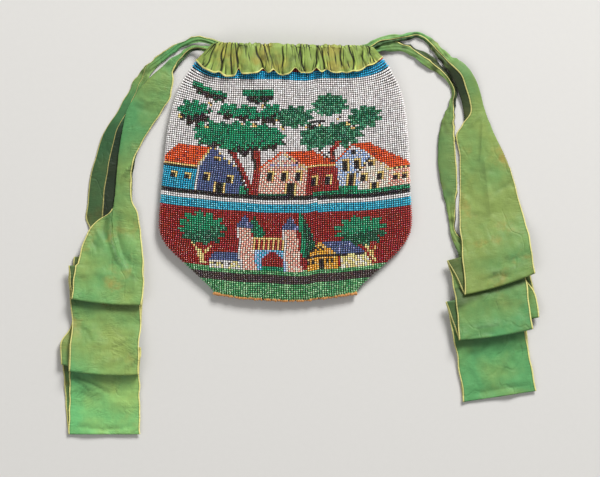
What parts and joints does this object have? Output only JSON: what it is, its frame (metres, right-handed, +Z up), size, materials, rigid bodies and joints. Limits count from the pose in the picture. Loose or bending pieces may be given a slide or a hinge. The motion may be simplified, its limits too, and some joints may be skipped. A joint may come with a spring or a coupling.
{
  "type": "bead-knit drawstring pouch with ribbon ties",
  "caption": "Flat bead-knit pouch with a gathered silk casing at its mouth and wide silk ribbon ties folded at both sides.",
  "frame": {"origin": "middle of the pouch's back, on the surface that it lies on", "axes": "+X to the right across the pouch as its picture is seen, +Y towards the mouth, +Z up out of the picture side"},
  "size_m": [0.335, 0.282, 0.0185],
  "materials": {
    "bead_knit": "opaque glass seed beads knitted row by row on cotton thread",
    "silk_casing": "olive-green silk ribbon, gathered, with a pale selvedge",
    "silk_ribbon": "green silk ribbon, fine plain weave, pale yellow selvedges, faint stains"
  },
  "bodies": {
    "root": {"bead_body": "bead_knit", "casing_front": "silk_casing", "casing_back": "silk_casing", "tie_left_front": "silk_ribbon", "tie_left_back": "silk_ribbon", "tie_right_front": "silk_ribbon", "tie_right_back": "silk_ribbon"}
  },
  "joints": []
}
